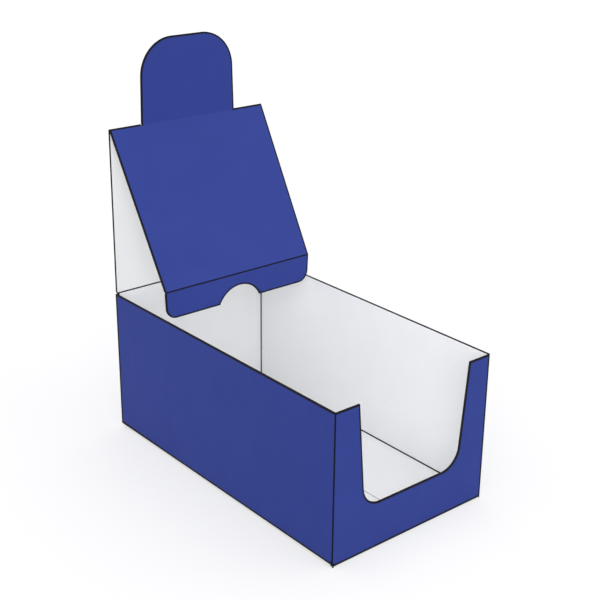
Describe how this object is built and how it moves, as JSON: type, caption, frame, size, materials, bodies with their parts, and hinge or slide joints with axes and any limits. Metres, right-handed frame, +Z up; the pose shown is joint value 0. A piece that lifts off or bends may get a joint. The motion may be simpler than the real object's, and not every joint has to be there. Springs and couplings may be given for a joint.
{
  "type": "cardboard display box",
  "caption": "Open-top counter display box of folded board, with a U-shaped front opening, a crash-lock base and a lid folded back into a sloping header with a raised tab.",
  "frame": {"origin": "middle of the footprint, on the surface that the box stands on", "axes": "+Z up, +X to the box's right as seen from its open front, +Y from the front towards the lid at the back"},
  "size_m": [0.127, 0.2286, 0.2716],
  "materials": {
    "printed_board": "satin",
    "unprinted_board": "matte",
    "glue": "satin"
  },
  "bodies": {
    "tray": {"front_panel": "printed_board", "left_side_panel": "printed_board", "back_panel": "printed_board", "right_side_panel": "printed_board", "glue_flap": "unprinted_board", "side_seam_glue": "glue", "base_left_flap": "unprinted_board", "base_right_flap": "unprinted_board", "base_front_flap": "printed_board", "base_back_flap": "printed_board", "base_front_glue_corner": "printed_board", "base_back_glue_corner": "printed_board", "base_corner_glue": "glue", "riser_crease": "printed_board"},
    "riser": {"lid_riser": "printed_board", "top_fold_crease": "printed_board"},
    "sloping_panel": {"lid_sloping_panel": "printed_board", "tuck_crease": "printed_board", "tab_crease": "printed_board"},
    "tuck": {"lid_tuck_flap": "printed_board"},
    "tab": {"header_tab": "printed_board"}
  },
  "joints": [
    {"name": "lid_shut", "type": "hinge", "parent": "tray", "child": "riser", "pos_m": [0, 0.1133, 0.1016], "axis": [1, 0, 0], "range_deg": [0, 90], "deforming": ["riser_crease"]},
    {"name": "top_fold_opens", "type": "hinge", "parent": "riser", "child": "sloping_panel", "pos_m": [0, 0.1133, 0.2151], "axis": [-1, 0, 0], "range_deg": [0, 150], "deforming": ["top_fold_crease"]},
    {"name": "tuck_bends", "type": "hinge", "parent": "sloping_panel", "child": "tuck", "pos_m": [0, 0.0575, 0.11845], "axis": [1, 0, 0], "range_deg": [0, 60], "deforming": ["tuck_crease"]},
    {"name": "tab_bends", "type": "hinge", "parent": "sloping_panel", "child": "tab", "pos_m": [0, 0.11243, 0.2156], "axis": [-1, 0, 0], "range_deg": [0, 30], "deforming": ["tab_crease"]}
  ],
  "couplings": [
    {"joint": "top_fold_opens", "follows": "lid_shut", "ratio": 1.6666},
    {"joint": "tuck_bends", "follows": "lid_shut", "ratio": 0.6666}
  ]
}
